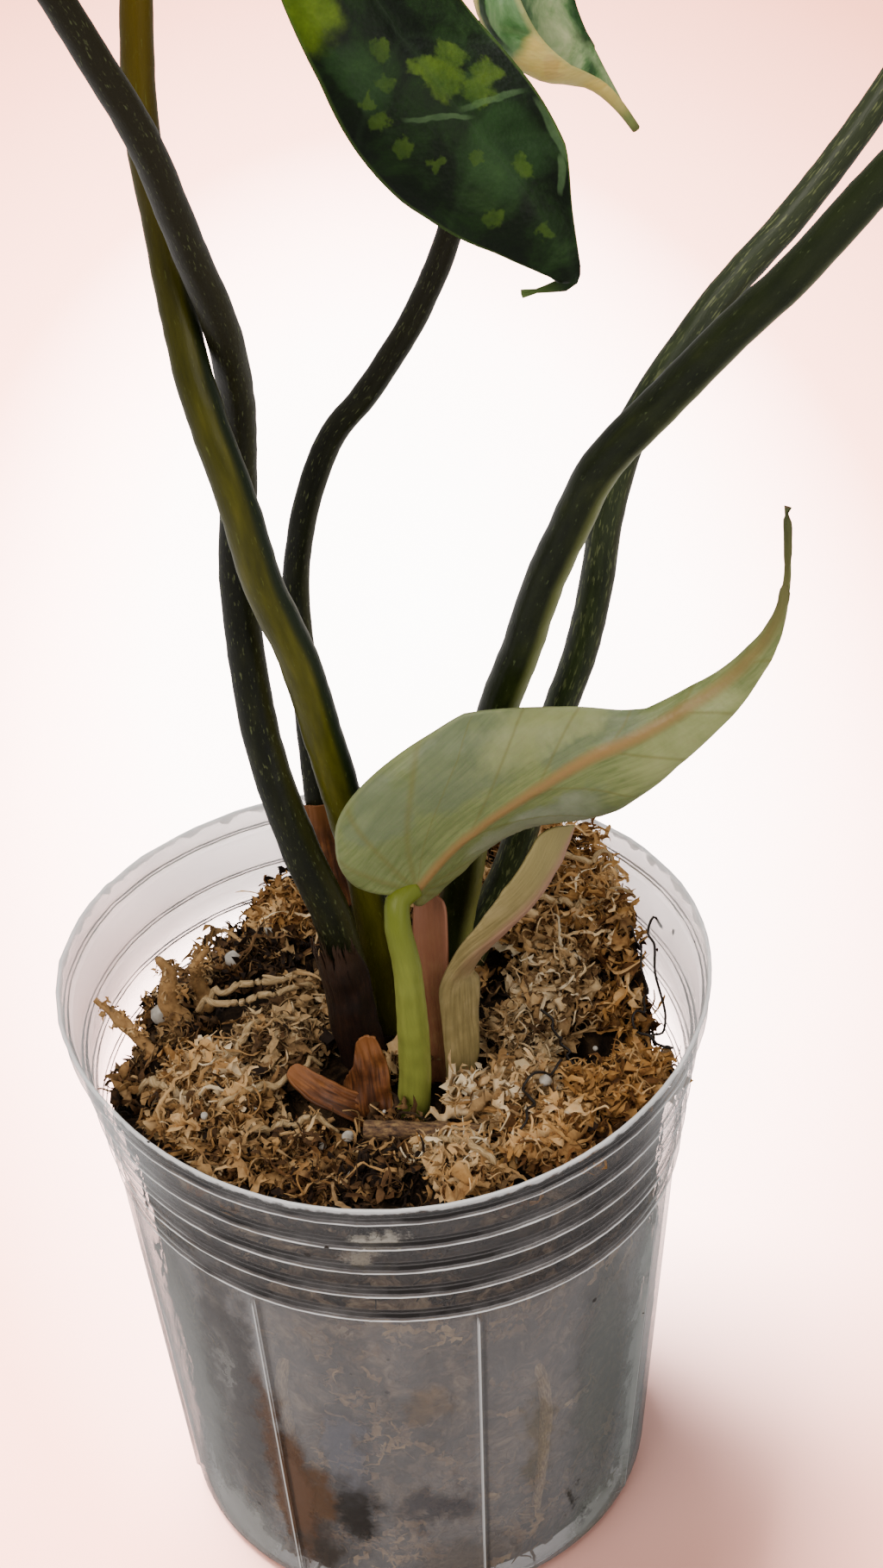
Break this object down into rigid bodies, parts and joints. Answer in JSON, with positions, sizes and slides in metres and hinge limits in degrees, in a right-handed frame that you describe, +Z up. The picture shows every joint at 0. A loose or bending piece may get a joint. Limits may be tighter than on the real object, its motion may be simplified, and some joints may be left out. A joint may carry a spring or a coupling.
{
  "type": "potted plant",
  "caption": "Variegated philodendron in a clear nursery pot filled with dried sphagnum: heart-shaped leaves on long stalks and one half-open new leaf.",
  "frame": {"origin": "middle of the underside of the nursery pot, on the surface it rests on", "axes": "+Z up, -Y towards the side that the picture shows, +X to the right as seen from there"},
  "size_m": [0.3441, 0.234, 0.3774],
  "materials": {
    "clear_plastic": "clear, thin, slightly hazy",
    "dried_sphagnum": "matt, fibrous",
    "root": "matt",
    "dark_stalk": "smooth, slightly waxy",
    "olive_stalk": "smooth, slightly waxy",
    "young_stalk": "smooth, juicy",
    "dark_blade": "soft sheen, blotched with lime",
    "cream_blade": "soft sheen, marbled cream and green",
    "young_blade": "satin, pale underside",
    "fresh_bract": "papery, finely veined",
    "pink_bract": "papery",
    "dried_bract": "dry, papery",
    "dry_twig": "matt"
  },
  "bodies": {
    "root": {"pot": "clear_plastic", "moss": "dried_sphagnum", "rhizome": "root", "petiole_a": "dark_stalk", "blade_a": "dark_blade", "petiole_b": "olive_stalk", "blade_b": "dark_blade", "petiole_c": "dark_stalk", "blade_c": "cream_blade", "petiole_d": "dark_stalk", "blade_d": "dark_blade", "petiole_e": "dark_stalk", "blade_e": "dark_blade", "petiole_young": "young_stalk", "blade_young": "young_blade", "cataphyll_tan": "fresh_bract", "cataphyll_pink": "pink_bract", "dried_sheath_front": "dried_bract", "dried_sheath_stalk_a": "dried_bract", "dried_sheath_stalk_c": "dried_bract", "twig": "dry_twig"}
  },
  "joints": []
}
